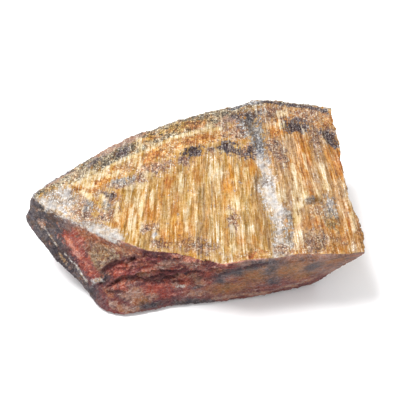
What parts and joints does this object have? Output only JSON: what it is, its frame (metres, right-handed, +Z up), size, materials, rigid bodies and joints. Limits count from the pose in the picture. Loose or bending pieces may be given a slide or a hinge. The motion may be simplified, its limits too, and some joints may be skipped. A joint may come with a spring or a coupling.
{
  "type": "rough tiger's eye stone",
  "caption": "Rough chunk of tiger's eye: a broad fibrous golden face over a red and grey ironstone wall. It lies on a flat sole.",
  "frame": {"origin": "on the plane that the stone rests on, under the middle of its bounding box", "axes": "+X along the stone towards its broad right end, +Y towards its back along the fibres, +Z up out of the fibrous face"},
  "size_m": [0.0784, 0.0468, 0.0261],
  "materials": {
    "tigers_eye": "rough broken stone: silky fibrous golden quartz on top, red and dark grey ironstone on the front and the left end"
  },
  "bodies": {
    "root": {"stone": "tigers_eye"}
  },
  "joints": []
}
